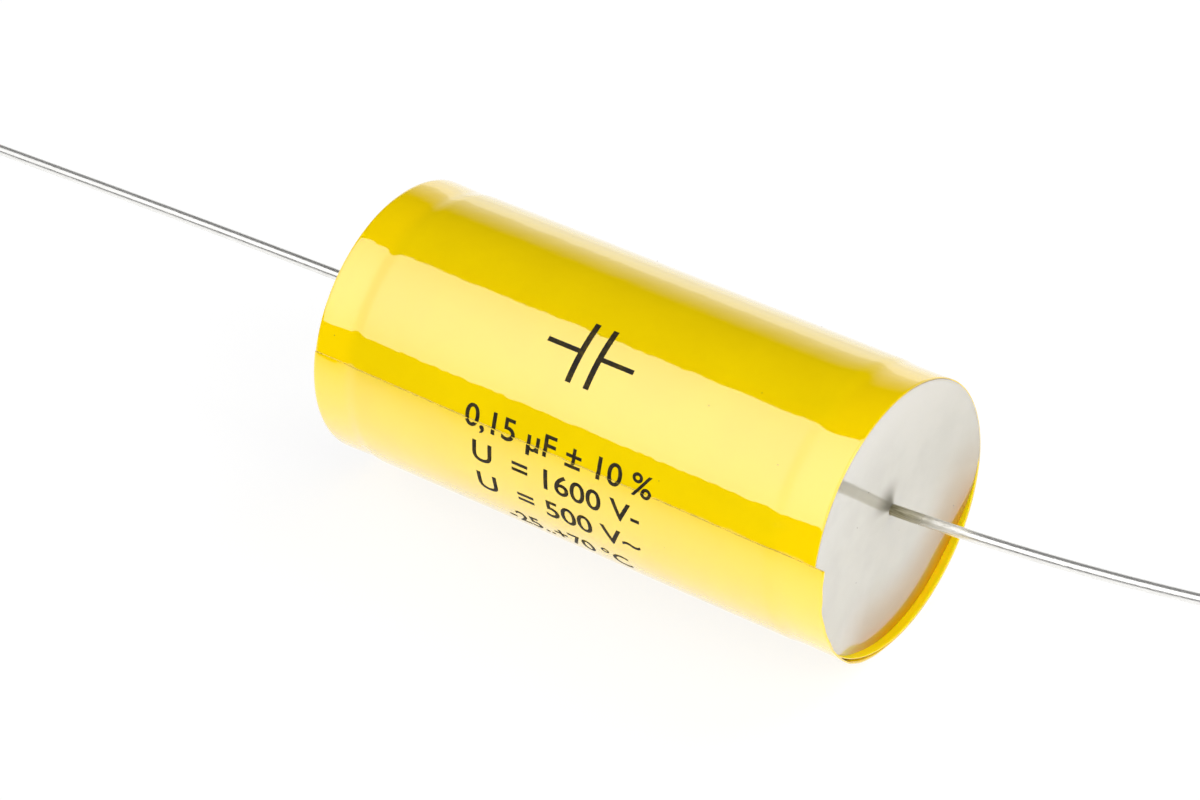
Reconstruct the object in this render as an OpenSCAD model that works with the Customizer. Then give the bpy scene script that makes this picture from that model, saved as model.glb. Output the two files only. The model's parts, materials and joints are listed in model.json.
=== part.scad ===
// Axial polypropylene film capacitor: a film roll wrapped in polyester tape, closed at both
// ends with cast resin, with a tinned wire lead welded to each sprayed end of the roll.
// Millimetres. The body's axis is X, the middle of the body is the origin and Z is up.

/* [Body] */
// Diameter of the wrapped body
body_d = 25; // [18:0.5:40]
// Length of the body from rim to rim
body_len = 52; // [40:1:90]

/* [Tape wrap] */
// Thickness of the tape with its adhesive
tape_t = 0.08; // [0.05:0.01:0.15]
// Turns of tape on the body
tape_turns = 3; // [2:1:6]
// Angle of the tape's cut end above the body's -Y side, in degrees
seam_angle = 11.4; // [-40:0.2:60]
// Drop of the tape from the roll to the resin cup at each end
cup_drop = 0.15; // [0.05:0.05:0.4]
// Length along the body over which the tape drops
cup_ramp = 1; // [0.5:0.1:2]
// How far the last turn's free edge stands past the right rim
lap_out = 0.9; // [0.3:0.1:1.5]
// Turns of tape in the free edge
lap_turns = 2; // [1:1:2]
// Depth to which the free edge runs back into the wrap
lap_root = 0.5; // [0.2:0.1:1]
// Arc below the cut end over which the free edge stands out in full, in degrees
lap_full_arc = 41; // [20:1:60]
// Arc below the cut end at which the free edge meets the rim again, in degrees
lap_end_arc = 100; // [70:1:110]

/* [Film roll] */
// Depth from each rim down to the sprayed end of the roll
cup_depth = 4.75; // [3.8:0.05:8]
// Thickness of the zinc sprayed on each end of the roll
zinc_t = 0.5; // [0.2:0.05:1]
// Bore of the tube that the film is wound on
core_bore = 3; // [2:0.5:6]
// Wall of the tube that the film is wound on
core_wall = 1; // [0.5:0.1:2]

/* [Resin ends] */
// Depth of the resin's face below the rim
resin_dip = 0.85; // [0.3:0.05:1.2]
// How far the resin climbs the tape at its edge
edge_climb = 0.3; // [0.1:0.05:0.5]
// How far the resin climbs the lead at its root
root_climb = 0.25; // [0.1:0.05:1.2]
// Radius of the resin's climb on its face round the lead
root_reach = 1.2; // [1:0.1:2.5]

/* [Leads] */
// Diameter of the lead wire
wire_d = 1; // [0.6:0.1:1.4]
// Length of wire outside the resin at each end
lead_len = 50; // [30:1:70]
// Straight length at the tip of each lead
tip_len = 14; // [8:1:20]
// Half turns in the flat head that is welded to the sprayed end
head_half_turns = 4; // [2:1:6]
// Radius of the head's innermost half turn
head_eye = 1.2; // [1:0.1:1.6]
// Gap between neighbouring turns of the head
head_gap = 0.6; // [0.3:0.1:1]
// Radius of the bend that turns the wire out of the head
head_bend = 1.2; // [0.8:0.1:1.4]
// Radius of the bend at the root, where the lead leans over
lean_bend = 8; // [4:1:9]
// How much fuller every second stretch of wire is, so that the next one ends inside it
wire_swell = 0.005; // [0.004:0.001:0.01]
// Depth to which the ends of the finer stretches sit in the fuller ones
wire_tuck = 0.05; // [0.02:0.01:0.08]

/* [Right lead] */
// Height above the axis at which the right lead comes out
right_rise = 0.75; // [0:0.05:2]
// Upward lean of the right lead, in degrees
right_lean = 3.5; // [1:0.1:9]
// Radius of the right lead's upward bow
right_bow = 240; // [150:10:1000]

/* [Left lead] */
// Height above the axis at which the left lead comes out
left_rise = 1.5; // [0:0.1:2]
// Downward lean of the left lead, in degrees
left_lean = 1.4; // [0.5:0.1:6]
// Radius of the left lead's downward bow
left_bow = 1800; // [400:50:3000]

/* [Fits] */
// Bond line between pieces that are wound, cast or welded together
bond = 0.04; // [0.02:0.01:0.08]

/* [Hidden] */

body_r = body_d / 2;
rim_x = body_len / 2;
wire_r = wire_d / 2;

// The tape's wall, and the bore that it leaves for the roll and for the resin cups
wrap_wall = tape_turns * tape_t;
bore_r = body_r - wrap_wall;
cup_r = bore_r - cup_drop;

// Places along the axis, measured from the middle: roll, sprayed face and resin face
zinc_x = rim_x - cup_depth;
film_x = zinc_x - zinc_t;
resin_x = rim_x - resin_dip;

// The roll and the tube inside it
roll_r = bore_r - bond;
core_r = core_bore / 2 + core_wall;

// The lead's head lies on the zinc, then the wire turns out and leans at the resin's face
head_x = zinc_x + bond + wire_r;
head_pitch = wire_d + head_gap;
stub_x = head_x + head_bend;

// At the tape's cut end the last turn is one tape thickness further out
last_turn_shift = tape_t / 2;
last_turn_r = body_r + last_turn_shift;

// The free edge's outer face lies a little inside the last turn's own
lap_r = last_turn_r - cup_drop - tape_t / 4;

// Overrun of cutting shapes past the faces that they cut
overrun = 1;
// Straight steps in the outline of a resin climb
climb_steps = 8;
round_fn = 128;
wire_fn = 32;
bow_fn = 1800;

// Outline of a body of revolution with a drop to a narrower cup at each end
function cupped_outline(r, end_x) = [
    [0, -end_x], [r - cup_drop, -end_x],
    [r - cup_drop, -zinc_x - cup_ramp], [r, -zinc_x],
    [r, zinc_x], [r - cup_drop, zinc_x + cup_ramp],
    [r - cup_drop, end_x], [0, end_x]
];

// Hollow quarter round from a face up to a wall: fall 0 is at the wall, 1 is on the face
function climb_height(fall, height) = height * (1 - sin(90 * fall));
function climb_point(fall) = 1 - cos(90 * fall);

// Middle of the head where half turn k starts, stepping out from side to side
function turn_r(k) = head_eye + k * head_pitch / 2;
function turn_start(k) = k == 0 ? 0 : turn_start(k - 1) + (k % 2 == 1 ? 2 : -2) * turn_r(k - 1);
function turn_middle(k) = (turn_start(k) + turn_start(k + 1)) / 2;

// Turns a body of revolution from its own Z to the X axis
module along_x() {
    rotate([0, 90, 0]) children();
}

// Own Z becomes the body's axis and own X points from the axis to the tape's cut end
module from_seam() {
    along_x() rotate([0, 0, -90 - seam_angle]) children();
}

// The same piece at the other end of the body
module other_end() {
    rotate([0, 0, 180]) children();
}

// Half of the wrap's outside, as a half body of revolution
module wrap_half(r) {
    rotate_extrude(angle = 180, $fn = round_fn) polygon(cupped_outline(r, rim_x));
}

// Free edge of the last turn: full height first, then cut on a slope down to the rim
module free_edge() {
    end_place = lap_r * cos(lap_end_arc);
    slope = atan(lap_out / (lap_r * cos(lap_full_arc) - end_place));
    intersection() {
        rotate_extrude(angle = lap_end_arc + overrun, $fn = round_fn)
            translate([lap_r - lap_turns * tape_t, rim_x - lap_root])
                square([lap_turns * tape_t, lap_root + lap_out]);
        translate([end_place, 0, rim_x])
            rotate([0, -slope, 0])
                translate([-body_d, -body_d, -body_d])
                    cube([2 * body_d, 2 * body_d, body_d]);
    }
}

module tape_wrap() {
    color([0.95, 0.80, 0.05]) {
        difference() {
            from_seam() {
                translate([last_turn_shift, 0, 0]) wrap_half(last_turn_r);
                rotate([0, 0, 180]) wrap_half(body_r);
            }
            along_x()
                rotate_extrude($fn = round_fn)
                    polygon(cupped_outline(bore_r, rim_x + overrun));
        }
        from_seam() translate([last_turn_shift, 0, 0]) free_edge();
    }
}

// Angle that the tucked end of a bend takes up
function tuck_angle(bend_r, tuck) = tuck / bend_r * 180 / PI;

// Wire along X from the origin, with its start tucked back
module straight_wire(len, r, tuck = 0) {
    along_x() translate([0, 0, -tuck]) cylinder(r = r, h = len + tuck, $fn = wire_fn);
}

// Wire that starts along X at the origin and turns up towards Z, with both ends tucked in
module bent_wire(bend_r, angle, r, tuck = 0) {
    spare = tuck_angle(bend_r, tuck);
    translate([0, 0, bend_r])
        along_x() rotate([90, 0, 0]) rotate([0, 0, -spare])
            rotate_extrude(angle = angle + 2 * spare, $fn = bow_fn)
                translate([bend_r, 0])
                    circle(r = r, $fn = wire_fn);
}

// Place and direction at the far end of such a bend
module after_bend(bend_r, angle) {
    translate([bend_r * sin(angle), 0, bend_r * (1 - cos(angle))])
        rotate([0, -angle, 0]) children();
}

// Flat spiral of half turns in the YZ plane, from its eye outwards
module spiral_head(r) {
    for (k = [0 : head_half_turns - 1]) {
        full = k % 2 == 0;
        spare = full ? 0 : tuck_angle(turn_r(k), wire_tuck);
        translate([0, turn_middle(k), 0])
            along_x() rotate([0, 0, (full ? -90 : 90) - spare])
                rotate_extrude(angle = 180 + 2 * spare, $fn = round_fn)
                    translate([turn_r(k), 0])
                        circle(r = full ? r + wire_swell : r, $fn = wire_fn);
    }
}

// Wire of the right-hand lead from its head to its tip, or the hollow that it leaves in the resin
module lead_wire(rise, lean, bow, upward, r) {
    lean_len = lean_bend * lean * PI / 180;
    bow_angle = (lead_len - tip_len) / bow * 180 / PI;
    stub_len = resin_x - lean_len - stub_x;
    translate([head_x, 0, rise - head_bend]) spiral_head(r);
    translate([head_x, 0, rise - head_bend])
        mirror([1, 0, 0]) rotate([0, -90, 0])
            bent_wire(head_bend, 90, r, wire_tuck);
    translate([stub_x, 0, rise]) {
        straight_wire(stub_len, r + wire_swell);
        translate([stub_len, 0, 0])
            mirror([0, 0, upward ? 0 : 1]) {
                bent_wire(lean_bend, lean, r, wire_tuck);
                after_bend(lean_bend, lean) {
                    bent_wire(bow, bow_angle, r + wire_swell);
                    after_bend(bow, bow_angle) straight_wire(tip_len, r, wire_tuck);
                }
            }
    }
}

module right_wire(r) {
    lead_wire(right_rise, right_lean, right_bow, true, r);
}

module left_wire(r) {
    other_end() lead_wire(left_rise, left_lean, left_bow, false, r);
}

module lead_right() {
    color([0.76, 0.76, 0.74]) right_wire(wire_r);
}

module lead_left() {
    color([0.76, 0.76, 0.74]) left_wire(wire_r);
}

// Resin poured into the right-hand cup: it wets the tape and climbs the lead
module resin_fill(rise) {
    fill_r = cup_r - bond;
    along_x()
        rotate_extrude($fn = round_fn)
            polygon([
                [0, zinc_x + bond], [roll_r - bond, zinc_x + bond],
                [fill_r, zinc_x + cup_ramp],
                for (i = [0 : climb_steps]) [
                    fill_r - edge_climb * climb_point(i / climb_steps),
                    resin_x + climb_height(i / climb_steps, edge_climb)
                ],
                [0, resin_x]
            ]);
    translate([0, 0, rise])
        along_x()
            rotate_extrude($fn = round_fn)
                polygon([
                    [0, zinc_x + cup_depth / 2], [root_reach, zinc_x + cup_depth / 2],
                    for (i = [climb_steps : -1 : 0]) [
                        wire_r + (root_reach - wire_r) * climb_point(i / climb_steps),
                        resin_x + climb_height(i / climb_steps, root_climb)
                    ],
                    [0, resin_x + root_climb]
                ]);
}

module end_fill_right() {
    color([0.89, 0.87, 0.82])
        difference() {
            resin_fill(right_rise);
            right_wire(wire_r + bond);
        }
}

module end_fill_left() {
    color([0.89, 0.87, 0.82])
        difference() {
            other_end() resin_fill(left_rise);
            left_wire(wire_r + bond);
        }
}

// Ring of sprayed zinc on the right-hand end of the roll
module zinc_ring() {
    along_x()
        translate([0, 0, film_x])
            difference() {
                cylinder(r = roll_r, h = zinc_t, $fn = round_fn);
                translate([0, 0, -overrun])
                    cylinder(d = core_bore, h = zinc_t + 2 * overrun, $fn = round_fn);
            }
}

module contact_right() {
    color([0.62, 0.63, 0.65]) zinc_ring();
}

module contact_left() {
    color([0.62, 0.63, 0.65]) other_end() zinc_ring();
}

module film_winding() {
    color([0.80, 0.82, 0.85])
        along_x()
            difference() {
                cylinder(r = roll_r, h = 2 * film_x, center = true, $fn = round_fn);
                cylinder(r = core_r + bond, h = 2 * (film_x + overrun), center = true, $fn = round_fn);
            }
}

module winding_core() {
    color([0.92, 0.92, 0.90])
        along_x()
            difference() {
                cylinder(r = core_r, h = 2 * film_x, center = true, $fn = round_fn);
                cylinder(d = core_bore, h = 2 * (film_x + overrun), center = true, $fn = round_fn);
            }
}

tape_wrap();
end_fill_left();
end_fill_right();
lead_left();
lead_right();
contact_left();
contact_right();
film_winding();
winding_core();
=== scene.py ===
import json
import math

import bmesh
import bpy
import numpy as np
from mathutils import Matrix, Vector
from mathutils.bvhtree import BVHTree


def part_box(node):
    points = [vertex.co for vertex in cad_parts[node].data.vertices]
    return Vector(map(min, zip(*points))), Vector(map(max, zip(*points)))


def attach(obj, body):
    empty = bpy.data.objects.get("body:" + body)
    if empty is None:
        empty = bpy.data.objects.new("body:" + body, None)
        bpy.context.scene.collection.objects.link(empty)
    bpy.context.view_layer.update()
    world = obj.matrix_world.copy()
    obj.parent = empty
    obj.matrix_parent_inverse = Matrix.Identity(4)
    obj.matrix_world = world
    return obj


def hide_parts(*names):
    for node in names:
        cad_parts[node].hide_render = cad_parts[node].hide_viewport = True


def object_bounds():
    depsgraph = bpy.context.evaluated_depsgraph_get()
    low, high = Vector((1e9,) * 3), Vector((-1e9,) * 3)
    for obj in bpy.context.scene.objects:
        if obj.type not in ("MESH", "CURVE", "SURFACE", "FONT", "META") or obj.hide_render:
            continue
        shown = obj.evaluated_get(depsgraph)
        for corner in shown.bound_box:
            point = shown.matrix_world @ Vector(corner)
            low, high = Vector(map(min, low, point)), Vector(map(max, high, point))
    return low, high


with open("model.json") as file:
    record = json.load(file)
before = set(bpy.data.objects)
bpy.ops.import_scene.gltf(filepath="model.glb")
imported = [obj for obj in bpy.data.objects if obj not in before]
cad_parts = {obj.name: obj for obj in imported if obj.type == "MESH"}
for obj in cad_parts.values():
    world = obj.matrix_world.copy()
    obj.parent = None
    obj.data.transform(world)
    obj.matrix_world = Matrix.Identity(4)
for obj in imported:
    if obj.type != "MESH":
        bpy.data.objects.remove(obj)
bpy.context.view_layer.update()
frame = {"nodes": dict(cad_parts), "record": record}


# Camera. It stands level above the near end and looks down along the body with a long lens,
# so that both wires run out of the picture.
mm = 0.001
scene = bpy.context.scene
scene.view_settings.view_transform = "Standard"
camera_place = Vector((201.1, -276.7, 232.2)) * mm
camera_sight = Vector((-0.49466, 0.66524, -0.55925))
camera_data = bpy.data.cameras.new("camera")
camera_data.sensor_width = 36
camera_data.lens = 145.8
camera_data.clip_start = 0.01
camera = bpy.data.objects.new("camera", camera_data)
camera.location = camera_place
camera.rotation_euler = camera_sight.to_track_quat("-Z", "Y").to_euler()
scene.collection.objects.link(camera)
scene.camera = camera


# Film roll, core tube and zinc ends. Metallised film is wound tight on a plastic tube, and both
# faces of the roll are sprayed with molten zinc, which joins the edges of the film. The tape and
# the resin close all of it in.
film_pitch = 0.12 * mm
film_silver = 0.60
film_edge = 0.34
film_relief = 0.01 * mm
core_patch = 2 * mm
zinc_grain = 0.25 * mm
zinc_relief = 0.05 * mm


def put(tree, kind, inputs=(), **settings):
    """Adds a node. Settings are its properties, and inputs gives its sockets a value or a link."""
    node = tree.nodes.new(kind)
    for name, value in settings.items():
        setattr(node, name, value)
    for socket, value in dict(inputs).items():
        if isinstance(value, bpy.types.NodeSocket):
            tree.links.new(value, node.inputs[socket])
        else:
            node.inputs[socket].default_value = value
    return node


def calc(tree, operation, *terms):
    """The result of one Math node."""
    return put(tree, "ShaderNodeMath", enumerate(terms), operation=operation).outputs[0]


def rise(tree, value, start, end):
    """A smooth step from 0 where the value is at start to 1 where it is at end."""
    ends = {"Value": value, "From Min": start, "From Max": end}
    return put(tree, "ShaderNodeMapRange", ends, interpolation_type="SMOOTHSTEP").outputs[0]


def mixed(tree, mask, low, high):
    """The colour low where the mask is 0 and high where it is 1."""
    return put(tree, "ShaderNodeMix", {0: mask, 6: low, 7: high}, data_type="RGBA").outputs[2]


def across(tree, y, z):
    """The distance from a line along the axis, from the two coordinates across that line."""
    squares = [calc(tree, "POWER", value, 2.0) for value in (y, z)]
    return calc(tree, "SQRT", calc(tree, "ADD", *squares))


def paint(red, green, blue):
    """A colour of a paint chart, 0 to 255, as the shader takes it."""
    shares = [value / 255 for value in (red, green, blue)]
    return [s / 12.92 if s <= 0.04045 else ((s + 0.055) / 1.055) ** 2.4 for s in shares] + [1.0]


def new_finish(name):
    """A new material, with its node tree, its shader and the piece's own coordinates."""
    finish = bpy.data.materials.new(name)
    finish.use_nodes = True
    tree = finish.node_tree
    place = put(tree, "ShaderNodeTexCoord").outputs["Object"]
    return finish, tree, tree.nodes["Principled BSDF"], place


def new_effect(name, inputs, output):
    """An empty shader node group with float inputs beside its Vector, and one value as output."""
    group = bpy.data.node_groups.new(name, "ShaderNodeTree")
    group.interface.new_socket("Vector", in_out="INPUT", socket_type="NodeSocketVector")
    for socket in inputs:
        group.interface.new_socket(socket, in_out="INPUT", socket_type="NodeSocketFloat")
    group.interface.new_socket(output, in_out="OUTPUT", socket_type="NodeSocketFloat")
    return group, put(group, "NodeGroupInput").outputs, put(group, "NodeGroupOutput").inputs


mottling, given, result = new_effect("mottling", ["Patch Size"], "Mask")
patches = put(mottling, "ShaderNodeTexNoise", {
    "Vector": given["Vector"],
    "Scale": calc(mottling, "DIVIDE", 1.0, given["Patch Size"]),
    "Detail": 3.0,
    "Roughness": 0.55,
})
mottling.links.new(rise(mottling, patches.outputs["Fac"], 0.32, 0.68), result["Mask"])


def mottled(tree, place, size):
    """The mask of soft patches of about that size."""
    group = put(tree, "ShaderNodeGroup", node_tree=mottling)
    tree.links.new(place, group.inputs["Vector"])
    group.inputs["Patch Size"].default_value = size
    return group.outputs["Mask"]


def bumped(tree, shader, height, depth):
    """Gives the shader a relief of that depth, in metres."""
    relief = put(tree, "ShaderNodeBump", {"Height": height, "Strength": 1.0, "Distance": depth})
    for skin in ("Normal", "Coat Normal"):
        tree.links.new(relief.outputs["Normal"], shader.inputs[skin])


def dress(node, finish):
    """Gives a CAD node its finish."""
    node.data.materials.clear()
    node.data.materials.append(finish)


film_finish, tree, shader, place = new_finish("wound_film")
axes = put(tree, "ShaderNodeSeparateXYZ", {"Vector": place}).outputs
from_axis = across(tree, axes["Y"], axes["Z"])
turn_line = calc(tree, "PINGPONG", calc(tree, "DIVIDE", from_axis, film_pitch), 1.0)
tree.links.new(mixed(tree, turn_line, [film_edge] * 3 + [1.0], [film_silver] * 3 + [1.0]),
               shader.inputs["Base Color"])
shader.inputs["Roughness"].default_value = 0.35
bumped(tree, shader, turn_line, film_relief)
dress(frame["nodes"]["film_winding"], film_finish)

core_finish, tree, shader, place = new_finish("core_plastic")
tree.links.new(mixed(tree, mottled(tree, place, core_patch), paint(236, 235, 228), paint(224, 222, 212)),
               shader.inputs["Base Color"])
shader.inputs["Roughness"].default_value = 0.5
dress(frame["nodes"]["winding_core"], core_finish)

zinc_finish, tree, shader, place = new_finish("sprayed_zinc")
grains = mottled(tree, place, zinc_grain)
tree.links.new(mixed(tree, grains, paint(120, 123, 128), paint(178, 180, 184)),
               shader.inputs["Base Color"])
shader.inputs["Metallic"].default_value = 0.8
shader.inputs["Roughness"].default_value = 0.6
bumped(tree, shader, grains, zinc_relief)
for node in ("contact_left", "contact_right"):
    dress(frame["nodes"][node], zinc_finish)


# Leads. Tinned copper wire, drawn round and hard. Its inner end is coiled into a flat spiral that
# is welded to the zinc, then it turns out along the axis. Handling has bent each one a little, and
# near the resin a thin film of old flux dulls the tin. The olive of that film, fading out along the
# wire, also stands in as a painted reflection of the darker resin face.
tip_mount = frame["record"]["mounts"][0]
wire_r = tip_mount["dims"]["r_mm"] * mm
tip_len = tip_mount["dims"]["length_mm"] * mm
zinc_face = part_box("contact_right")[1].x
resin_face = 25.15 * mm
head_lift = 0.54 * mm
head_eye_r = 1.2 * mm
head_pitch = 1.6 * mm
head_half_turns = 4
head_bend_r = 1.2 * mm
lean_bend_r = 8 * mm
bow_len = 36 * mm
lead_height = {1: 0.75 * mm, -1: 1.5 * mm}
lead_lean = {1: math.radians(3.5), -1: math.radians(-1.4)}
lead_bow_r = {1: 240 * mm, -1: -1800 * mm}
wire_sides = 32
head_steps = 24
flux_and_reflection_reach = (1.0 * mm, 7.5 * mm)
flux_and_reflection_ragged = 1.2 * mm
streak_w = 0.12 * mm
streak_depth = 0.002 * mm
blotch = 1.6 * mm


def coiled_head(x, top):
    """The flat spiral, from its outer end in to the eye below the point at height top."""
    ends = [0.0]
    for half_turn in range(head_half_turns):
        radius = head_eye_r + half_turn * head_pitch / 2
        ends.append(ends[-1] + 2 * radius * (-1) ** half_turn)
    route = []
    for half_turn in reversed(range(head_half_turns)):
        middle = (ends[half_turn] + ends[half_turn + 1]) / 2
        reach = (ends[half_turn + 1] - ends[half_turn]) / 2
        side = -1 if half_turn % 2 == 0 else 1
        for angle in np.linspace(0, math.pi, head_steps, endpoint=False):
            height = side * abs(reach) * math.sin(angle)
            route.append((x, middle + reach * math.cos(angle), top + height))
    return route


def bent(route, heading, length, turn, steps):
    """Carries a route on from its last point, in the upright plane of the axis, turning evenly."""
    for step in range(steps):
        x, y, z = route[-1]
        middle = heading + turn * (step + 0.5) / steps
        stride = length / steps
        route.append((x + stride * math.cos(middle), y, z + stride * math.sin(middle)))
    return heading + turn


def lead_route(height, lean, bow):
    """The right-hand wire: spiral head, bend to the axis, stub, lean, bow and straight tip."""
    head_x = zinc_face + head_lift
    route = coiled_head(head_x, height - head_bend_r)
    route.append((head_x, 0.0, height - head_bend_r))
    heading = bent(route, math.pi / 2, head_bend_r * math.pi / 2, -math.pi / 2, steps=16)
    lean_len = lean_bend_r * abs(lean)
    heading = bent(route, heading, resin_face - lean_len - route[-1][0], 0, steps=4)
    heading = bent(route, heading, lean_len, lean, steps=6)
    heading = bent(route, heading, bow_len, bow, steps=48)
    bent(route, heading, tip_len, 0, steps=8)
    return route


def new_tree(name, inputs):
    """An empty Geometry Nodes tree with its geometry sockets and named inputs."""
    tree = bpy.data.node_groups.new(name, "GeometryNodeTree")
    tree.interface.new_socket("Geometry", in_out="INPUT", socket_type="NodeSocketGeometry")
    for socket, kind in inputs.items():
        tree.interface.new_socket(socket, in_out="INPUT", socket_type="NodeSocket" + kind)
    tree.interface.new_socket("Geometry", in_out="OUTPUT", socket_type="NodeSocketGeometry")
    return tree, put(tree, "NodeGroupInput").outputs


def close_tree(tree, geometry, finish):
    """Ends a Geometry Nodes tree in one mesh with its finish."""
    smooth = put(tree, "GeometryNodeSetShadeSmooth", {"Geometry": geometry})
    whole = put(tree, "GeometryNodeRealizeInstances", {"Geometry": smooth.outputs[0]})
    done = put(tree, "GeometryNodeSetMaterial", {"Geometry": whole.outputs[0], "Material": finish})
    put(tree, "NodeGroupOutput", {"Geometry": done.outputs[0]})


def grown(name, seed, tree, values):
    """Runs a Geometry Nodes tree on a seed mesh and keeps the result as a plain mesh."""
    piece = bpy.data.objects.new(name, seed)
    scene.collection.objects.link(piece)
    modifier = piece.modifiers.new(tree.name, "NODES")
    modifier.node_group = tree
    for item in tree.interface.items_tree:
        if item.in_out == "INPUT" and item.name in values:
            modifier[item.identifier] = values[item.name]
    mesh = bpy.data.meshes.new_from_object(
        piece.evaluated_get(bpy.context.evaluated_depsgraph_get()))
    piece.modifiers.remove(modifier)
    piece.data = mesh
    mesh.name = name
    return piece


def polyline(name, points, closed=False):
    """A mesh of edges only, through the points in order."""
    count = len(points)
    edges = [(k, (k + 1) % count) for k in range(count if closed else count - 1)]
    mesh = bpy.data.meshes.new(name)
    mesh.from_pydata(points, edges, [])
    return mesh


wire_finish, tree, shader, place = new_finish("tinned_wire")
drawn = put(tree, "ShaderNodeMapping", {"Vector": place, "Scale": (0.06, 1.0, 1.0)}).outputs[0]
streaks = mottled(tree, drawn, streak_w)
blotches = mottled(tree, place, blotch)
axes = put(tree, "ShaderNodeSeparateXYZ", {"Vector": place}).outputs
# Near the resin the tin is painted olive: a film of old flux, and a painted reflection of the resin
# face.
past_resin = calc(tree, "SUBTRACT", calc(tree, "ABSOLUTE", axes["X"]), resin_face)
ragged = calc(tree, "MULTIPLY_ADD", blotches, flux_and_reflection_ragged, past_resin)
clear_of_flux_and_reflection = rise(tree, ragged, *flux_and_reflection_reach)
tin = mixed(tree, streaks, paint(232, 231, 228), paint(246, 245, 243))
flux_and_reflection = mixed(tree, streaks, paint(136, 130, 102), paint(172, 166, 140))
tree.links.new(mixed(tree, clear_of_flux_and_reflection, flux_and_reflection, tin), shader.inputs["Base Color"])
tree.links.new(calc(tree, "MULTIPLY_ADD", clear_of_flux_and_reflection, -0.14, 0.32), shader.inputs["Roughness"])
shader.inputs["Metallic"].default_value = 0.72
bumped(tree, shader, streaks, streak_depth)

tree, given = new_tree("drawn_wire", {"Wire Radius": "Float", "Sides": "Int"})
route = put(tree, "GeometryNodeMeshToCurve", {"Mesh": given["Geometry"]})
round_die = put(tree, "GeometryNodeCurvePrimitiveCircle",
                {"Resolution": given["Sides"], "Radius": given["Wire Radius"]})
wire = put(tree, "GeometryNodeCurveToMesh", {
    "Curve": route.outputs[0], "Profile Curve": round_die.outputs[0], "Fill Caps": True})
close_tree(tree, wire.outputs[0], wire_finish)


def turned_out(mesh):
    """Merges doubles and turns every face of a closed mesh outwards."""
    shape = bmesh.new()
    shape.from_mesh(mesh)
    bmesh.ops.remove_doubles(shape, verts=shape.verts, dist=0.0005 * mm)
    bmesh.ops.recalc_face_normals(shape, faces=shape.faces)
    shape.to_mesh(mesh)
    shape.free()


def add_lead(name, node, end):
    """One lead. End is 1 for the right-hand one and -1 for the left, which is turned about."""
    right_hand = lead_route(lead_height[end], lead_lean[end], bow_len / lead_bow_r[end])
    points = [(end * x, end * y, z) for x, y, z in right_hand]
    lead = grown(name, polyline(name, points), tree, {"Wire Radius": wire_r, "Sides": wire_sides})
    turned_out(lead.data)
    lead.data.set_sharp_from_angle(angle=math.radians(50))
    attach(lead, "root")
    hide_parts(node)


add_lead("wire_right", "lead_right", 1)
add_lead("wire_left", "lead_left", -1)


# Tape. Glossy yellow polyester tape, wider than the roll, is wound on in a few turns and sags into
# a neck just past each zinc face. Its cut end shows as a line along the near side, and below that
# line the edge of the last turn stands past the right rim and gapes where it runs out.
tape_t = 0.08 * mm
tape_low, tape_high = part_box("tape_wrap")
half_len = -tape_low.x
body_r = tape_high.y
wall = 3.25 * tape_t
outer_turns = 1.5 * tape_t
groove = 0.1 * tape_t
edge_round = 0.35 * tape_t
groove_len = 0.4 * mm
seam_angle = math.radians(11.4)
seam_skew = math.radians(-0.0355) / mm
turn_steps = 320
free_edge = tape_high.x - half_len
free_full = math.radians(41)
free_end = math.radians(100)
free_root = 21 * mm
gape = 0.10 * mm
gape_out = 0.6
gape_in = 0.5
gape_middle = math.radians(78)
gape_arc = math.radians(20)
gape_depth = 1.2 * mm
neck_start = 21.3 * mm
neck_low = 22.8 * mm
neck_dip = 0.11 * mm
neck_lift = 0.07 * mm
cup_start = 21 * mm
cup_low = 22.4 * mm
cup_dip = 0.10 * mm
cup_lift = 0.03 * mm
dent_dip = 0.15 * mm
dent_x = 22.2 * mm
dent_len = 1.6 * mm
dent_angle = math.radians(85)
dent_arc = 0.30
oval_dip = 0.08 * mm
oval_x = (20 * mm, 25 * mm)
oval_angle = math.radians(158)
oval_arc = 0.4
ripple_h = 0.0008 * mm
wave_h = 0.004 * mm
end_lift = 0.012 * mm
end_lift_reach = 1.5 * mm


def smooth(value, start, end):
    """A smooth step from 0 at start to 1 at end."""
    share = np.clip((value - start) / (end - start), 0, 1)
    return share * share * (3 - 2 * share)


def hump(value, middle, width):
    """A bell of height 1 about the middle."""
    return np.exp(-((value - middle) / width) ** 2)


def around(angle, middle):
    """The angle from the middle, kept between half a turn back and half a turn on."""
    return (angle - middle + math.pi) % (2 * math.pi) - math.pi


def sag(x, angle):
    """How far the tape stands out from a true round, in metres."""
    neck_left = -neck_dip * smooth(-x, neck_start, neck_low)
    neck_left = neck_left + neck_lift * smooth(-x, neck_low, half_len)
    cup_right = -cup_dip * smooth(x, cup_start, cup_low)
    cup_right = cup_right + cup_lift * smooth(x, neck_low, half_len)
    dent = -dent_dip * hump(x, dent_x, dent_len) * hump(around(angle, dent_angle), 0, dent_arc)
    oval = -oval_dip * smooth(x, *oval_x) * hump(around(angle, oval_angle), 0, oval_arc)
    ripple = np.zeros_like(x + angle)
    for wave in range(10):
        lobes = 7 + (wave * 5) % 13
        along = 2 * math.pi / ((3.1 + (wave * 1.7) % 5.3) * mm)
        ripple += ripple_h * np.sin(lobes * angle + (-1) ** wave * along * x + 2.4 * wave)
    for wave in range(4):
        along = 2 * math.pi / ((17 + 9 * wave) * mm)
        ripple += wave_h * np.sin((3 + wave) * angle + along * x + 1.7 * wave)
    return neck_left + cup_right + dent + oval + ripple


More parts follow.
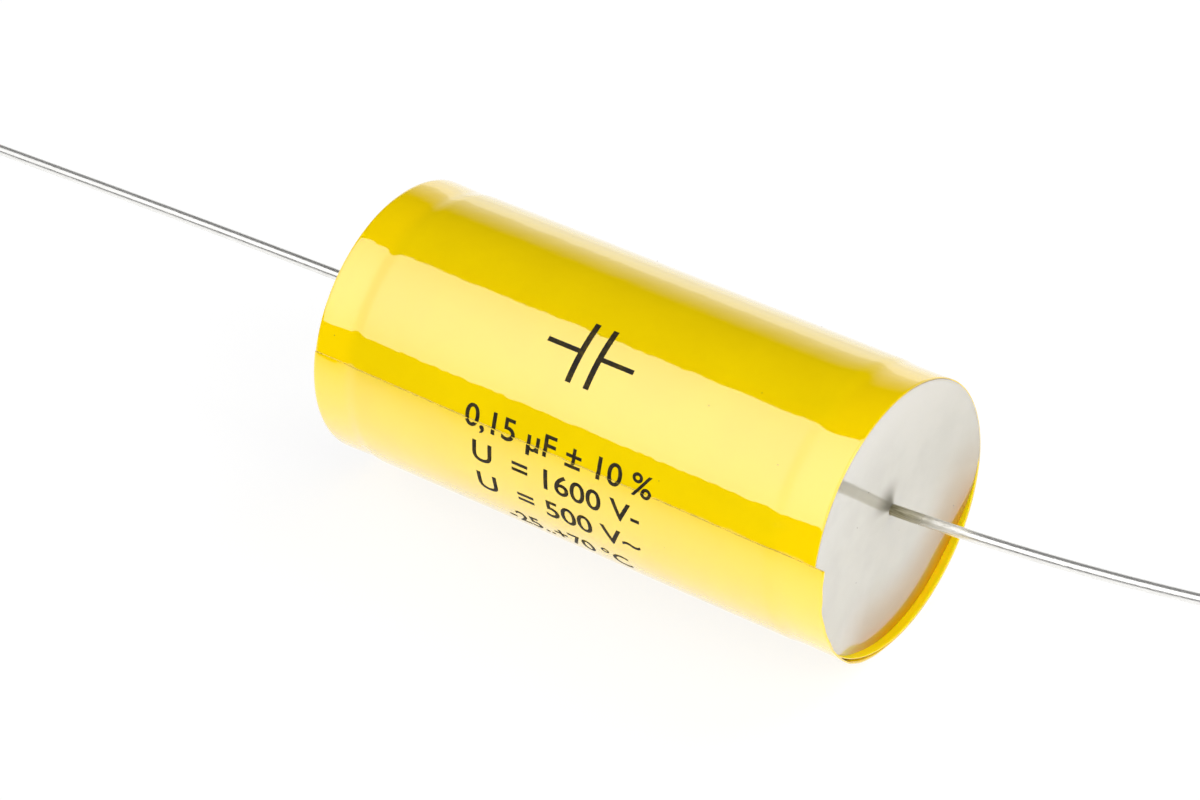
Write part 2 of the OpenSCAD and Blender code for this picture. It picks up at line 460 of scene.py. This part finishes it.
def tape_section():
    """The wall cut along the axis: place along it, depth below the surface, and 1 at a cut edge."""
    right_rim = [(half_len - edge_round, 0, 0), (half_len, edge_round, 1),
                 (half_len, outer_turns - edge_round / 2, 1), (half_len - edge_round, outer_turns, 1)]
    right_rim += [(half_len - back * groove_len, outer_turns, 1) for back in (0.5, 1)]
    right_rim += [(half_len - back * groove_len, outer_turns + groove, 1) for back in (1, 0.5)]
    right_rim += [(half_len - edge_round, outer_turns + groove, 1),
                  (half_len, outer_turns + groove + edge_round / 2, 1),
                  (half_len, wall - edge_round, 1), (half_len - edge_round, wall, 0)]
    left_rim = [(-x, depth, cut) for x, depth, cut in reversed(right_rim)]
    flank = half_len - 6 * mm
    outside = np.concatenate([
        np.linspace(-half_len + 0.25 * mm, -flank, 24, endpoint=False),
        np.linspace(-flank, flank, 100, endpoint=False),
        np.linspace(flank, half_len - 0.25 * mm, 25)])
    cup_inside = np.linspace(half_len - 0.2 * mm, flank, 18)
    inside = np.concatenate([cup_inside, -cup_inside[::-1]])
    section = [(x, 0, 0) for x in outside] + right_rim
    section += [(x, wall, 0) for x in inside] + left_rim
    return section


tape_finish, tree, shader, place = new_finish("yellow_tape")
turn = put(tree, "ShaderNodeAttribute", attribute_name="turn").outputs["Fac"]
section = put(tree, "ShaderNodeAttribute", attribute_name="section").outputs["Vector"]
section = put(tree, "ShaderNodeSeparateXYZ", {"Vector": section}).outputs
inside = rise(tree, section["Y"], 0.8 * wall, 0.9 * wall)
from_seam = calc(tree, "MULTIPLY", calc(tree, "PINGPONG", turn, 0.5), 2 * math.pi * body_r)
flecks = mottled(tree, place, 0.5 * mm)
# Along the cut end of the last turn the tape is flecked dark: dust at the adhesive edge, and painted
# shade of the step.
clear_of_seam = rise(tree, from_seam, 0.02 * mm, 0.07 * mm)
seam_dust_and_shade = calc(tree, "MULTIPLY", calc(tree, "SUBTRACT", 1.0, clear_of_seam), flecks)
yellow = mixed(tree, mottled(tree, place, 7 * mm), paint(240, 207, 0), paint(244, 211, 0))
over_resin = rise(tree, calc(tree, "ABSOLUTE", section["X"]), 21.0 * mm, 23.5 * mm)
yellow = mixed(tree, over_resin, yellow, paint(251, 214, 0))
# Painted light: the inner face of the tape is painted a brighter yellow, for light shining through the
# thin tape.
lit_through_lining = mixed(tree, inside, yellow, paint(255, 209, 0))
edged = mixed(tree, calc(tree, "MULTIPLY", section["Z"], 0.25), lit_through_lining, paint(186, 150, 12))
axes = put(tree, "ShaderNodeSeparateXYZ", {"Vector": place}).outputs
top_edge = calc(tree, "MULTIPLY", rise(tree, axes["Z"], 9.5 * mm, 11 * mm),
                rise(tree, axes["Y"], -1.0 * mm, 1.5 * mm))
top_dirt = calc(tree, "MULTIPLY", calc(tree, "MULTIPLY", top_edge, section["Z"]), 0.6)
edged = mixed(tree, top_dirt, edged, paint(128, 96, 36))
tree.links.new(mixed(tree, calc(tree, "MULTIPLY", seam_dust_and_shade, 0.35), edged, paint(70, 56, 12)),
               shader.inputs["Base Color"])
gloss = calc(tree, "MULTIPLY_ADD", mottled(tree, place, 1.2 * mm), 0.02, 0.025)
tree.links.new(calc(tree, "MULTIPLY_ADD", inside, 0.5, gloss), shader.inputs["Roughness"])
outside = calc(tree, "SUBTRACT", 1.0, inside)
tree.links.new(outside, shader.inputs["Coat Weight"])
tree.links.new(calc(tree, "MULTIPLY_ADD", outside, 0.4, 0.1), shader.inputs["Specular IOR Level"])
tree.links.new(calc(tree, "MULTIPLY", inside, 0.8), shader.inputs["Subsurface Weight"])
shader.inputs["Subsurface Radius"].default_value = (1.0, 0.5, 0.05)
shader.inputs["Subsurface Scale"].default_value = 0.5 * mm
shader.inputs["IOR"].default_value = 1.8
shader.inputs["Coat Roughness"].default_value = 0.025
shader.inputs["Coat IOR"].default_value = 1.8
peel = put(tree, "ShaderNodeTexNoise", {"Vector": place, "Scale": 1 / (1.3 * mm), "Detail": 1.0})
bumped(tree, shader, peel.outputs["Fac"], 0.012 * mm)

tree, given = new_tree("wound_tape", {
    "Body Radius": "Float", "Tape": "Float", "Wall": "Float", "Turn Steps": "Int",
    "Seam Angle": "Float", "Seam Skew": "Float"})
path = put(tree, "GeometryNodeCurveArc", {
    "Resolution": given["Turn Steps"], "Radius": given["Body Radius"], "Sweep Angle": 2 * math.pi})
path_share = put(tree, "GeometryNodeSplineParameter").outputs["Factor"]
path = put(tree, "GeometryNodeStoreNamedAttribute",
           {"Geometry": path.outputs[0], "Name": "turn", "Value": path_share}, domain="POINT")
profile = put(tree, "GeometryNodeMeshToCurve", {"Mesh": given["Geometry"]})
profile_place = put(tree, "GeometryNodeInputPosition").outputs[0]
profile = put(tree, "GeometryNodeStoreNamedAttribute",
              {"Geometry": profile.outputs[0], "Name": "section"},
              data_type="FLOAT_VECTOR", domain="POINT")
tree.links.new(profile_place, profile.inputs["Value"])
band = put(tree, "GeometryNodeCurveToMesh", {
    "Curve": path.outputs[0], "Profile Curve": profile.outputs[0], "Fill Caps": True})
turn = put(tree, "GeometryNodeInputNamedAttribute", {"Name": "turn"}).outputs["Attribute"]
section = put(tree, "GeometryNodeInputNamedAttribute", {"Name": "section"}, data_type="FLOAT_VECTOR")
section = put(tree, "ShaderNodeSeparateXYZ", {"Vector": section.outputs["Attribute"]}).outputs
outward = calc(tree, "SUBTRACT", 1.0, calc(tree, "DIVIDE", section["Y"], given["Wall"]))
lap = calc(tree, "MULTIPLY", given["Tape"], calc(tree, "SUBTRACT", 1.0, turn))
surface_r = calc(tree, "MULTIPLY_ADD", lap, outward, given["Body Radius"])
radius = calc(tree, "SUBTRACT", surface_r, section["Y"])
seam = calc(tree, "MULTIPLY_ADD", section["X"], given["Seam Skew"], given["Seam Angle"])
angle = calc(tree, "MULTIPLY_ADD", turn, -2 * math.pi, seam)
spot = put(tree, "ShaderNodeCombineXYZ", {
    "X": section["X"],
    "Y": calc(tree, "MULTIPLY", calc(tree, "COSINE", angle), calc(tree, "MULTIPLY", radius, -1.0)),
    "Z": calc(tree, "MULTIPLY", calc(tree, "SINE", angle), radius)})
laid = put(tree, "GeometryNodeSetPosition", {"Geometry": band.outputs[0], "Position": spot.outputs[0]})
close_tree(tree, laid.outputs[0], tape_finish)

tape = grown("wound_tape", polyline("tape_section", tape_section(), closed=True), tree, {
    "Body Radius": body_r, "Tape": tape_t, "Wall": wall, "Turn Steps": turn_steps + 1,
    "Seam Angle": seam_angle, "Seam Skew": seam_skew})


def read(mesh, name, width):
    """A point attribute of a mesh as an array."""
    values = np.zeros(len(mesh.vertices) * width, np.float32)
    mesh.attributes[name].data.foreach_get("vector" if width == 3 else "value", values)
    return values.reshape(-1, width) if width > 1 else values


def settle_tape(mesh):
    """Lets the wound tape sag, and moves the free edge of its last turn past the right rim."""
    x, y, z = read(mesh, "position", 3).T
    below_seam = read(mesh, "turn", 1) * 2 * math.pi
    depth = read(mesh, "section", 3)[:, 1]
    angle = np.arctan2(z, -y)
    radius = np.hypot(y, z) + sag(x, angle)
    outer = depth < outer_turns + groove / 2
    near_rim = smooth(x, free_root, half_len)
    uneven = 1 + 0.05 * np.sin(13 * below_seam) + 0.04 * np.sin(29 * below_seam + 1)
    free = free_edge * (1 - smooth(below_seam, free_full, free_end)) * uneven
    gaping = gape * hump(below_seam, gape_middle, gape_arc)
    at_rim = smooth(x, half_len - gape_depth, half_len)
    radius += end_lift * np.exp(-below_seam * body_r / end_lift_reach) * outer
    radius += np.where(outer, gape_out, -gape_in * (depth < wall - edge_round)) * gaping * at_rim
    x = x + np.where(outer, free * near_rim, 0)
    settled = np.stack([x, -np.cos(angle) * radius, np.sin(angle) * radius], 1)
    mesh.vertices.foreach_set("co", settled.astype(np.float32).ravel())
    mesh.update()


settle_tape(tape.data)
turned_out(tape.data)
tape.data.set_sharp_from_angle(angle=math.radians(55))
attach(tape, "root")
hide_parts("tape_wrap")


# Cast resin. Off-white resin is poured into the cup that the tape leaves at each end and sets with
# a glossy level face, below the rim. It creeps up the lead and up the tape all round, except at the
# low far side, and a little dirt has stuck to it. Its colour also holds painted light: lighter towards
# the top, a painted glow of the tape near the low side and painted shade beside the lead's root.
cup_r = body_r - wall + 0.06 * mm
low_creep = 0.05 * mm
edge_creep = 0.82 * mm
creep_power = 2.4
rim_cover = 0.09 * mm
collar = 0.22 * mm
collar_reach = 2.0 * mm
low_side = math.radians(243)
dry_before = (math.radians(14), math.radians(62))
dry_after = (math.radians(45), math.radians(80))
side_tuck = 0.04 * mm
resin_rings = 44
resin_columns = 192

resin_finish, tree, shader, place = new_finish("cast_resin")
axes = put(tree, "ShaderNodeSeparateXYZ", {"Vector": place}).outputs
pale = mixed(tree, mottled(tree, place, 5 * mm), paint(190, 186, 174), paint(197, 193, 181))
# Painted light: the resin is painted lighter towards the top.
pale = mixed(tree, rise(tree, axes["Z"], 5.0 * mm, 11.5 * mm), pale, paint(204, 199, 187))
grit = put(tree, "ShaderNodeTexVoronoi", {"Vector": place, "Scale": 1 / (1.7 * mm), "Randomness": 1.0})
grit_mask = calc(tree, "LESS_THAN", grit.outputs["Distance"], 0.03)
from_axis = across(tree, axes["Y"], axes["Z"])
towards_low = calc(tree, "ADD", calc(tree, "MULTIPLY", axes["Y"], -math.cos(low_side)),
                   calc(tree, "MULTIPLY", axes["Z"], math.sin(low_side)))
low_share = calc(tree, "DIVIDE", towards_low, from_axis)
# Painted light: towards the low side, near the tape, the resin is painted tan and then amber, a painted
# glow of light through and off the yellow tape.
tan = calc(tree, "MULTIPLY", rise(tree, low_share, 0.1, 1.0),
           rise(tree, from_axis, cup_r - 7.0 * mm, cup_r - 1.5 * mm))
near_tape_glow = calc(tree, "MULTIPLY", rise(tree, low_share, 0.5, 0.95),
             rise(tree, from_axis, cup_r - 2.4 * mm, cup_r - 0.3 * mm))
tinted = mixed(tree, tan, pale, paint(168, 138, 90))
tinted = mixed(tree, near_tape_glow, tinted, paint(180, 122, 0))
on_right = calc(tree, "GREATER_THAN", axes["X"], 0.0)
lead_z = calc(tree, "MULTIPLY_ADD", on_right, lead_height[1] - lead_height[-1], lead_height[-1])
above_lead = calc(tree, "SUBTRACT", axes["Z"], lead_z)
from_lead = across(tree, axes["Y"], above_lead)
# Painted shade: a dark patch on the upper near side of the lead's root, with the gloss taken off there
# too.
towards_root_shade = calc(tree, "SUBTRACT", calc(tree, "MULTIPLY", above_lead, 0.87),
                      calc(tree, "MULTIPLY", axes["Y"], 0.5))
upper_near = calc(tree, "DIVIDE", towards_root_shade, from_lead)
root_shade = calc(tree, "MULTIPLY", rise(tree, upper_near, 0.4, 1.0),
              rise(tree, from_lead, 3.3 * mm, 0.5 * mm))
root_shaded = mixed(tree, calc(tree, "MULTIPLY", root_shade, 0.85), tinted, paint(84, 80, 66))
tree.links.new(mixed(tree, grit_mask, root_shaded, paint(62, 58, 50)), shader.inputs["Base Color"])
tree.links.new(calc(tree, "MULTIPLY_ADD", mottled(tree, place, 1.5 * mm), 0.04, 0.10),
               shader.inputs["Roughness"])
clear_of_root_shade = calc(tree, "SUBTRACT", 1.0, root_shade)
tree.links.new(clear_of_root_shade, shader.inputs["Coat Weight"])
tree.links.new(calc(tree, "MULTIPLY", clear_of_root_shade, 0.5), shader.inputs["Specular IOR Level"])
shader.inputs["IOR"].default_value = 1.6
shader.inputs["Coat IOR"].default_value = 1.6
shader.inputs["Coat Roughness"].default_value = 0.08
shader.inputs["Subsurface Weight"].default_value = 0.25
shader.inputs["Subsurface Radius"].default_value = (1.0, 0.9, 0.7)
shader.inputs["Subsurface Scale"].default_value = 0.6 * mm


def add_resin(name, node, end):
    """The resin of one end: its face, its side in the tape, its back and the channel of the lead."""
    around_axis = np.linspace(0, 2 * math.pi, resin_columns, endpoint=False)
    turned = around_axis if end == 1 else math.pi - around_axis
    past_low = around(turned, low_side)
    wetted = np.where(past_low < 0, smooth(-past_low, *dry_before), smooth(past_low, *dry_after))
    rim_r = cup_r + rim_cover * wetted + sag(np.full(resin_columns, end * half_len), turned)
    share = (1 - np.cos(np.linspace(0, math.pi, resin_rings)))[:, None] / 2
    radius = wire_r * (1 - share) + rim_r * share
    from_lead = radius - wire_r
    creep = low_creep + edge_creep * wetted
    height = creep * share ** creep_power
    height = height + collar * np.clip(1 - from_lead / collar_reach, 0, 1) ** 3
    x = resin_face + height
    down = np.linspace(0.05, 1, 8)[:, None]
    side_x = x[-1] + (zinc_face - x[-1]) * down
    side_r = cup_r - side_tuck + sag(end * side_x, turned + 0 * side_x)
    x = np.vstack([x, side_x, np.full((1, resin_columns), zinc_face)])
    radius = np.vstack([radius, side_r, np.full((1, resin_columns), wire_r)])
    share = np.concatenate([share, 0 * down + 1, [[0.0]]])
    y = -np.cos(around_axis) * radius
    z = np.sin(around_axis) * radius + lead_height[end] * (1 - share)
    points = np.stack([end * x, end * y, z], 2).reshape(-1, 3)
    rows = len(share)
    faces = []
    for row in range(rows):
        for column in range(resin_columns):
            following = (column + 1) % resin_columns
            below = (row + 1) % rows
            faces.append((row * resin_columns + column, row * resin_columns + following,
                          below * resin_columns + following, below * resin_columns + column))
    mesh = bpy.data.meshes.new(name)
    mesh.from_pydata(points.tolist(), [], faces)
    mesh.materials.append(resin_finish)
    turned_out(mesh)
    mesh.shade_smooth()
    mesh.set_sharp_from_angle(angle=math.radians(60))
    resin = bpy.data.objects.new(name, mesh)
    scene.collection.objects.link(resin)
    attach(resin, "root")
    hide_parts(node)


add_resin("resin_right", "end_fill_right", 1)
add_resin("resin_left", "end_fill_left", -1)


# Print. The rating and a circuit sign are stamped on the tape in quick-drying black ink, one line
# below the other round the near side, and the ink lies a little unevenly.
ink_t = 0.012 * mm
ink_lift = 0.012 * mm
ink_strip = 0.3 * mm
letter_h = 2.0 * mm
letter_swell = 0.012
rating = [("0,15 µF ± 10 %", 9.3, 19.4), ("U  = 1600 V-", -5.1, 17.4),
          ("U  = 500 V~", -20.1, 17.0), ("-25..+70 °C", -37.0, 12.8)]
sign_angle = 53.0
plate_h = 5.6 * mm
plate_gap = 1.3 * mm
sign_stroke = 0.55 * mm
sign_line_half = sign_stroke / 2.6
sign_half = 4.4 * mm

ink_finish, tree, shader, place = new_finish("stamped_ink")
thin_ink = calc(tree, "MULTIPLY", mottled(tree, place, 0.25 * mm), mottled(tree, place, 1.1 * mm))
tree.links.new(mixed(tree, thin_ink, paint(24, 21, 14), paint(74, 62, 22)), shader.inputs["Base Color"])
tree.links.new(calc(tree, "MULTIPLY_ADD", thin_ink, 0.2, 0.5), shader.inputs["Roughness"])
shader.inputs["Specular IOR Level"].default_value = 0.2

tape_skin = BVHTree.FromObject(tape, bpy.context.evaluated_depsgraph_get())


def flat_text(text, width):
    """A line of text as a flat mesh, its foot at 0, scaled to the letter height and the width."""
    curve = bpy.data.curves.new("ink_line", "FONT")
    curve.body = text
    curve.align_x = "CENTER"
    curve.resolution_u = 5
    curve.offset = letter_swell
    letters = bpy.data.objects.new("ink_line", curve)
    scene.collection.objects.link(letters)
    mesh = bpy.data.meshes.new_from_object(
        letters.evaluated_get(bpy.context.evaluated_depsgraph_get()))
    bpy.data.objects.remove(letters)
    shape = bmesh.new()
    shape.from_mesh(mesh)
    left = min(point.co.x for point in shape.verts)
    right = max(point.co.x for point in shape.verts)
    tall = max(point.co.y for point in shape.verts)
    for point in shape.verts:
        point.co.x = (point.co.x - (left + right) / 2) * width / (right - left)
        point.co.y *= letter_h / tall
    return shape


def flat_sign():
    """The circuit sign of a capacitor: two plates across a line."""
    shape = bmesh.new()
    boxes = []
    for side in (-1, 1):
        inner = side * plate_gap / 2
        boxes.append((inner, inner + side * sign_stroke, plate_h / 2))
        boxes.append((inner + side * sign_stroke, side * sign_half, sign_line_half))
    for start, end, half in boxes:
        corners = [(start, -half), (end, -half), (end, half), (start, half)]
        shape.faces.new([shape.verts.new((u, v, 0)) for u, v in corners])
    bmesh.ops.remove_doubles(shape, verts=shape.verts, dist=0.001 * mm)
    return shape


def stamp(shape, foot, name):
    """Lays a flat shape on the tape, its foot at that angle, a little above the skin."""
    low = min(point.co.y for point in shape.verts)
    high = max(point.co.y for point in shape.verts)
    for cut_at in np.arange(low + ink_strip, high, ink_strip):
        bmesh.ops.bisect_plane(shape, geom=shape.verts[:] + shape.edges[:] + shape.faces[:],
                               plane_co=(0, cut_at, 0), plane_no=(0, 1, 0))
    bmesh.ops.triangulate(shape, faces=shape.faces)
    for point in shape.verts:
        angle = math.radians(foot) + point.co.y / body_r
        out = Vector((0, -math.cos(angle), math.sin(angle)))
        start = Vector((point.co.x, 0, 0)) + out * 2 * body_r
        spot = tape_skin.ray_cast(start, -out)[0]
        point.co = spot + out * ink_lift
    mesh = bpy.data.meshes.new(name)
    bmesh.ops.recalc_face_normals(shape, faces=shape.faces)
    shape.to_mesh(mesh)
    shape.free()
    return mesh


ink_lines = [stamp(flat_text(text, width * mm), foot, "ink") for text, foot, width in rating]
ink_lines.append(stamp(flat_sign(), sign_angle, "ink"))
ink_shape = bmesh.new()
for line in ink_lines:
    ink_shape.from_mesh(line)
for face in ink_shape.faces:
    middle = face.calc_center_median()
    if face.normal.dot(Vector((0, middle.y, middle.z))) < 0:
        face.normal_flip()
bmesh.ops.solidify(ink_shape, geom=ink_shape.faces[:], thickness=ink_t)
bmesh.ops.recalc_face_normals(ink_shape, faces=ink_shape.faces)
ink_mesh = bpy.data.meshes.new("rating_print")
ink_shape.to_mesh(ink_mesh)
ink_shape.free()
ink_mesh.materials.append(ink_finish)
ink = bpy.data.objects.new("rating_print", ink_mesh)
scene.collection.objects.link(ink)
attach(ink, "root")


# Dust. A few dark grains of workshop dust, small and flat, have settled on the tape. Nothing but
# the charge of the wound plastic holds them.
dust_r = 0.05 * mm
dust_least = (0.3, 0.3, 0.2)
dust_most = (1.5, 1.0, 0.5)
dust_per_m2 = 6000.0
dust_seed = 11

dust_finish, tree, shader, place = new_finish("dust")
tree.links.new(mixed(tree, mottled(tree, place, 0.1 * mm), paint(44, 38, 20), paint(120, 104, 48)),
               shader.inputs["Base Color"])
shader.inputs["Roughness"].default_value = 0.8

tree, given = new_tree("settled_dust", {"Grain Radius": "Float", "Grains": "Float", "Seed": "Int"})
section = put(tree, "GeometryNodeInputNamedAttribute", {"Name": "section"}, data_type="FLOAT_VECTOR")
depth = put(tree, "ShaderNodeSeparateXYZ", {"Vector": section.outputs["Attribute"]}).outputs["Y"]
on_skin = calc(tree, "LESS_THAN", depth, 0.001 * mm)
spots = put(tree, "GeometryNodeDistributePointsOnFaces", {
    "Mesh": given["Geometry"], "Selection": on_skin, "Density": given["Grains"], "Seed": given["Seed"]})
grain = put(tree, "GeometryNodeMeshIcoSphere", {"Radius": given["Grain Radius"], "Subdivisions": 2})
spread = put(tree, "FunctionNodeRandomValue", data_type="FLOAT_VECTOR")
spread.inputs[0].default_value = dust_least
spread.inputs[1].default_value = dust_most
tree.links.new(given["Seed"], spread.inputs["Seed"])
grains = put(tree, "GeometryNodeInstanceOnPoints", {
    "Points": spots.outputs["Points"], "Instance": grain.outputs["Mesh"],
    "Rotation": spots.outputs["Rotation"], "Scale": spread.outputs[0]})
close_tree(tree, grains.outputs[0], dust_finish)
dust = grown("dust", tape.data.copy(), tree,
             {"Grain Radius": dust_r, "Grains": dust_per_m2, "Seed": dust_seed})
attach(dust, "root")


# Studio. A white floor and white surroundings, a large soft box in front and above that only gloss
# sees, a fill lamp at the right, lamps low in front, behind and at the left, and three dark screens
# that give the gloss its deep bands. None of it is the object.
floor_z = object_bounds()[0].z
floor_half = 4.0
floor_shade = 0.17
floor_glow = 0.86
key_angle = math.radians(47)
key_half = math.radians(41)
key_distance = 0.45
key_x = -0.365
key_width = 0.77
key_radiance = 0.53
key_peak = 1.22
key_peak_along = 0.66
key_peak_across = 0.48
key_fall_along = -20.0
key_fall_across = -3.4
fill_place = Vector((0.5, -0.1, 0.35))
fill_size = 0.5
fill_radiance = 3.3
front_place = Vector((0.0, -0.7, 0.05))
front_size = (0.8, 0.1)
front_radiance = 3.2
low_spread = math.radians(80)
back_place = Vector((0.2, 0.42, 0.56))
back_size = (0.4, 0.4)
back_radiance = 4.2
side_place = Vector((-0.58, 0.0, 0.14))
side_size = (0.4, 0.24)
side_radiance = 1.3
sky_level = 0.25
screen_black = 0.005
overhead_bow = ((84, 0.48), (105, 0.58), (125, 0.61), (145, 0.62), (165, 0.62))
overhead_x = (-1.2, 0.8)
low_screen_x = (-0.35, 0.2)
low_screen_top = 14.5 * mm
front_y = -58 * mm
card_y = -8 * mm


def add_card(name, corners, finish):
    """A flat or folded card of the studio, from pairs of points, one pair for each fold."""
    mesh = bpy.data.meshes.new(name)
    faces = [(k, k + 1, k + 3, k + 2) for k in range(0, len(corners) - 2, 2)]
    mesh.from_pydata(corners, [], faces)
    mesh.materials.append(finish)
    card = bpy.data.objects.new(name, mesh)
    scene.collection.objects.link(card)
    return card


def seen_directly(tree):
    """1 for rays that show the surroundings: from the camera, in gloss and through glass."""
    path = put(tree, "ShaderNodeLightPath").outputs
    glossy = calc(tree, "MAXIMUM", path["Is Glossy Ray"], path["Is Transmission Ray"])
    return calc(tree, "MAXIMUM", path["Is Camera Ray"], glossy)


def add_lamp(name, place, width, height, radiance):
    """A soft box of that radiance at that place, not yet turned."""
    lamp_data = bpy.data.lights.new(name, "AREA")
    lamp_data.shape = "RECTANGLE"
    lamp_data.size = width
    lamp_data.size_y = height
    lamp_data.energy = radiance * math.pi * width * height
    lamp_data.use_nodes = True
    lamp = bpy.data.objects.new(name, lamp_data)
    lamp.location = place
    lamp.visible_camera = False
    scene.collection.objects.link(lamp)
    return lamp


floor_finish, tree, shader, place = new_finish("white_floor")
shader.inputs["Base Color"].default_value = (0.9, 0.9, 0.9, 1.0)
shader.inputs["Roughness"].default_value = 0.9
shader.inputs["Specular IOR Level"].default_value = 0.0
shade = put(tree, "ShaderNodeBsdfDiffuse", {"Color": [floor_shade] * 3 + [1.0]})
glow = put(tree, "ShaderNodeEmission", {"Color": (1.0, 1.0, 1.0, 1.0), "Strength": floor_glow})
shown = put(tree, "ShaderNodeAddShader", {0: shade.outputs[0], 1: glow.outputs[0]})
floor_mix = put(tree, "ShaderNodeMixShader",
                {0: seen_directly(tree), 1: shader.outputs[0], 2: shown.outputs[0]})
tree.links.new(floor_mix.outputs[0], tree.nodes["Material Output"].inputs["Surface"])
floor_ends = (-floor_half, floor_half)
add_card("floor", [(x, y, floor_z) for y in floor_ends for x in floor_ends], floor_finish)


def add_screen(name, corners, dark_at, clear_at):
    """A dark screen that only gloss sees, fading out between two places along Y."""
    screen_finish, tree, shader, place = new_finish(name)
    dark = put(tree, "ShaderNodeEmission", {"Color": [screen_black] * 3 + [1.0], "Strength": 1.0})
    clear = put(tree, "ShaderNodeBsdfTransparent")
    along = put(tree, "ShaderNodeSeparateXYZ", {"Vector": place}).outputs["Y"]
    fading = rise(tree, along, dark_at, clear_at)
    screen_mix = put(tree, "ShaderNodeMixShader",
                     {0: fading, 1: dark.outputs[0], 2: clear.outputs[0]})
    tree.links.new(screen_mix.outputs[0], tree.nodes["Material Output"].inputs["Surface"])
    screen = add_card(name, corners, screen_finish)
    screen.visible_camera = False
    screen.visible_diffuse = False
    screen.visible_shadow = False
    screen.visible_transmission = False


overhead = []
for turn_up, distance in overhead_bow:
    angle = math.radians(turn_up)
    overhead += [(x, -math.cos(angle) * distance, math.sin(angle) * distance) for x in overhead_x]
add_screen("screen_overhead", overhead, 0.46, 0.67)
low_front = [(x, front_y, z) for z in (floor_z, low_screen_top) for x in low_screen_x]
add_screen("screen_front", low_front, front_y, -front_y)
grey_card = [(x, y, floor_z + 0.2 * mm) for y in (front_y, card_y) for x in low_screen_x]
add_screen("grey_card", grey_card, -88 * mm, card_y)

key_y = -math.cos(key_angle) * key_distance
key_z = math.sin(key_angle) * key_distance
key_height = 2 * key_distance * math.tan(key_half)
key = add_lamp("key", Vector((key_x, key_y, key_z)), key_width, key_height, key_radiance)
key.rotation_euler = (math.pi / 2 - key_angle, 0, 0)
key.visible_diffuse = False
lamp_tree = key.data.node_tree
lamp_face = put(lamp_tree, "ShaderNodeNewGeometry").outputs["Parametric"]
lamp_face = put(lamp_tree, "ShaderNodeSeparateXYZ", {"Vector": lamp_face}).outputs
off_along = calc(lamp_tree, "POWER", calc(lamp_tree, "SUBTRACT", lamp_face["X"], key_peak_along), 2.0)
off_across = calc(lamp_tree, "POWER", calc(lamp_tree, "SUBTRACT", lamp_face["Y"], key_peak_across), 2.0)
fall_across = calc(lamp_tree, "MULTIPLY", off_across, key_fall_across)
off_peak = calc(lamp_tree, "MULTIPLY_ADD", off_along, key_fall_along, fall_across)
falling = calc(lamp_tree, "MULTIPLY", calc(lamp_tree, "EXPONENT", off_peak), key_peak)
lamp_tree.links.new(falling, lamp_tree.nodes["Emission"].inputs["Strength"])
fill = add_lamp("fill", fill_place, fill_size, fill_size, fill_radiance)
fill.rotation_euler = (-fill_place).to_track_quat("-Z", "Y").to_euler()
for name, place, size, radiance, spread in (
        ("front", front_place, front_size, front_radiance, low_spread),
        ("back", back_place, back_size, back_radiance, math.pi),
        ("side", side_place, side_size, side_radiance, low_spread)):
    lamp = add_lamp(name, place, *size, radiance)
    lamp.rotation_euler = (-place).to_track_quat("-Z", "Y").to_euler()
    lamp.visible_glossy = False
    lamp.data.spread = spread

world = bpy.data.worlds.new("white_room")
world.use_nodes = True
scene.world = world
tree = world.node_tree
soft = tree.nodes["Background"]
soft.inputs["Color"].default_value = (1.0, 1.0, 1.0, 1.0)
soft.inputs["Strength"].default_value = sky_level
white = put(tree, "ShaderNodeBackground", {"Color": (1.0, 1.0, 1.0, 1.0), "Strength": 1.0})
room = put(tree, "ShaderNodeMixShader",
           {0: seen_directly(tree), 1: soft.outputs[0], 2: white.outputs[0]})
tree.links.new(room.outputs[0], tree.nodes["World Output"].inputs["Surface"])
